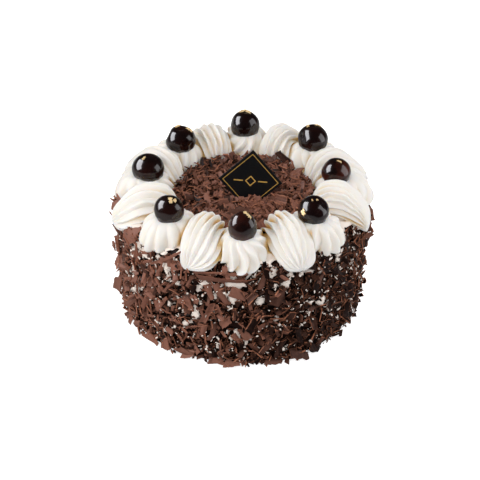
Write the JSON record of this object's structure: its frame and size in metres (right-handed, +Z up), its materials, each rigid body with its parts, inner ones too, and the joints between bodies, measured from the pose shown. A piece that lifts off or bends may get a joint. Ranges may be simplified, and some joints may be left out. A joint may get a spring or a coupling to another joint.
{
  "type": "black forest cake",
  "caption": "Round black forest cake: cream coat with chocolate flakes, a piped ring of rosettes and shells, glossy cherries with gold leaf, and a small blank card standing on top.",
  "frame": {"origin": "middle of the cake's flat underside", "axes": "+Z up through the cake; -Y towards the side that the card faces; +X to the right seen from there"},
  "size_m": [0.1901, 0.1867, 0.1275],
  "materials": {
    "whipped_cream": "smooth soft whipped cream, faint satin sheen",
    "chocolate": "matte shaved dark chocolate flakes on a coat of whipped cream",
    "cherry": "very glossy dark syrup-soaked cherry",
    "card": "satin black card with a thin gold border line"
  },
  "bodies": {
    "root": {"cake": "chocolate", "rosette_1": "whipped_cream", "rosette_2": "whipped_cream", "rosette_3": "whipped_cream", "rosette_4": "whipped_cream", "rosette_5": "whipped_cream", "rosette_6": "whipped_cream", "rosette_7": "whipped_cream", "rosette_8": "whipped_cream", "shell_1": "whipped_cream", "shell_2": "whipped_cream", "shell_3": "whipped_cream", "shell_4": "whipped_cream", "shell_5": "whipped_cream", "shell_6": "whipped_cream", "shell_7": "whipped_cream", "shell_8": "whipped_cream", "cherry_1": "cherry", "cherry_2": "cherry", "cherry_3": "cherry", "cherry_4": "cherry", "cherry_5": "cherry", "cherry_6": "cherry", "cherry_7": "cherry", "cherry_8": "cherry", "card": "card"}
  },
  "joints": []
}
